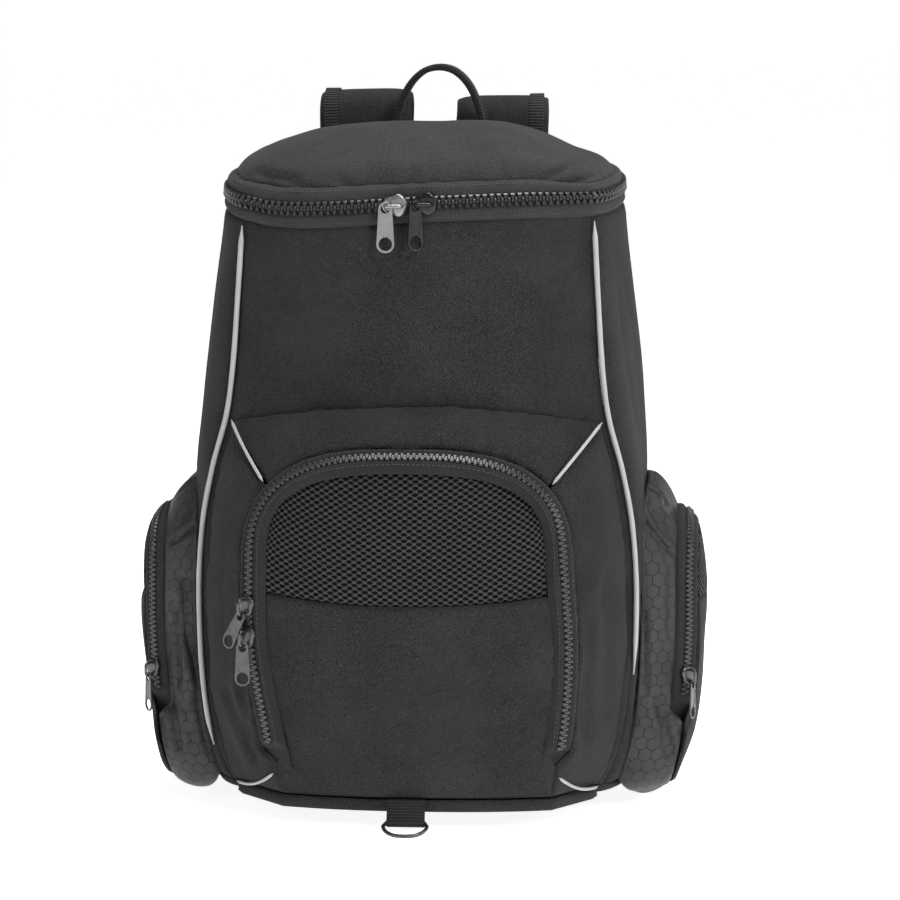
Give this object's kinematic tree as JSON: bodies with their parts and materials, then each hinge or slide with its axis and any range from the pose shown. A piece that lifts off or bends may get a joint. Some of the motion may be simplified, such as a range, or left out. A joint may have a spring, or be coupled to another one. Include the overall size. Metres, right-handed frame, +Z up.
{
  "type": "sports backpack",
  "caption": "Black cloth backpack with a domed zippered lid, a zippered front pocket with a mesh window, side pockets, piping and shoulder straps.",
  "frame": {"origin": "on the floor under the middle of the bag, in the middle of the flat that the base rests on", "axes": "+Z up, -Y the front with the pocket, +X the wearer's right, which is the viewer's right from the front"},
  "size_m": [0.3974, 0.2811, 0.5097],
  "materials": {
    "black_cloth": "fine charcoal oxford cloth",
    "ripstop": "satin ripstop with a hexagon grid",
    "air_mesh": "knitted mesh with staggered holes",
    "zip_tape": "woven zipper tape",
    "zip_teeth": "moulded teeth",
    "reflective": "silver reflective piping",
    "dark_metal": "polished gunmetal",
    "webbing": "ribbed webbing",
    "hard_plastic": "moulded plastic"
  },
  "bodies": {
    "bag": {"front_panel": "black_cloth", "side_panel_right": "black_cloth", "side_panel_left": "black_cloth", "back_panel": "black_cloth", "base_panel": "black_cloth", "lid_panel": "black_cloth", "pocket_door_panel": "black_cloth", "pocket_top_panel": "black_cloth", "pocket_side_right": "black_cloth", "pocket_side_left": "black_cloth", "pocket_floor": "black_cloth", "side_pocket_panel_right": "black_cloth", "side_pocket_panel_left": "black_cloth", "shoulder_strap_right": "black_cloth", "shoulder_strap_left": "black_cloth", "side_pocket_gusset_right": "ripstop", "side_pocket_gusset_left": "ripstop", "pocket_door_mesh": "air_mesh", "side_pocket_mesh_right": "air_mesh", "side_pocket_mesh_left": "air_mesh", "lid_zip_tape": "zip_tape", "front_zip_tape": "zip_tape", "side_zip_tape_right": "zip_tape", "side_zip_tape_left": "zip_tape", "lid_zip_chain": "zip_teeth", "front_zip_chain": "zip_teeth", "side_zip_chain_right": "zip_teeth", "side_zip_chain_left": "zip_teeth", "piping_right": "reflective", "piping_left": "reflective", "piping_upper_right": "reflective", "piping_upper_left": "reflective", "piping_lower_right": "reflective", "piping_lower_left": "reflective", "slider_lid_left": "dark_metal", "slider_lid_right": "dark_metal", "slider_front_upper": "dark_metal", "slider_front_lower": "dark_metal", "slider_side_right": "dark_metal", "slider_side_left": "dark_metal", "haul_handle": "webbing", "ring_tab": "webbing", "strap_webbing_right": "webbing", "strap_webbing_left": "webbing", "adjuster_right": "hard_plastic", "adjuster_left": "hard_plastic"},
    "pull_lid_left": {"pull_lid_left": "dark_metal"},
    "pull_lid_right": {"pull_lid_right": "dark_metal"},
    "pull_front_upper": {"pull_front_upper": "dark_metal"},
    "pull_front_lower": {"pull_front_lower": "dark_metal"},
    "pull_side_right": {"pull_side_right": "dark_metal"},
    "pull_side_left": {"pull_side_left": "dark_metal"},
    "d_ring": {"d_ring": "dark_metal"}
  },
  "joints": [
    {"name": "pull_lid_left_swing", "type": "hinge", "parent": "bag", "child": "pull_lid_left", "pos_m": [-0.01944, -0.08678, 0.41968], "axis": [0, -1, 0], "range_deg": [-85, 24]},
    {"name": "pull_lid_right_swing", "type": "hinge", "parent": "bag", "child": "pull_lid_right", "pos_m": [0.00064, -0.08683, 0.42082], "axis": [0, -1, 0], "range_deg": [-18, 18]},
    {"name": "pull_front_upper_swing", "type": "hinge", "parent": "bag", "child": "pull_front_upper", "pos_m": [-0.11341, -0.12976, 0.14816], "axis": [-0.6003, -0.7998, 0], "range_deg": [-85, 0]},
    {"name": "pull_front_lower_swing", "type": "hinge", "parent": "bag", "child": "pull_front_lower", "pos_m": [-0.11273, -0.13009, 0.12716], "axis": [-0.5987, -0.801, 0], "range_deg": [-27, 60]},
    {"name": "pull_side_right_swing", "type": "hinge", "parent": "bag", "child": "pull_side_right", "pos_m": [0.18903, -0.0488, 0.0896], "axis": [0.6409, -0.7676, 0], "range_deg": [-27, 60]},
    {"name": "pull_side_left_swing", "type": "hinge", "parent": "bag", "child": "pull_side_left", "pos_m": [-0.18903, -0.0488, 0.0896], "axis": [-0.6409, -0.7676, 0], "range_deg": [-60, 60]},
    {"name": "d_ring_swing", "type": "hinge", "parent": "bag", "child": "d_ring", "pos_m": [-0.003, -0.13001, 0.0072], "axis": [1, 0, 0], "range_deg": [-100, 0]}
  ]
}
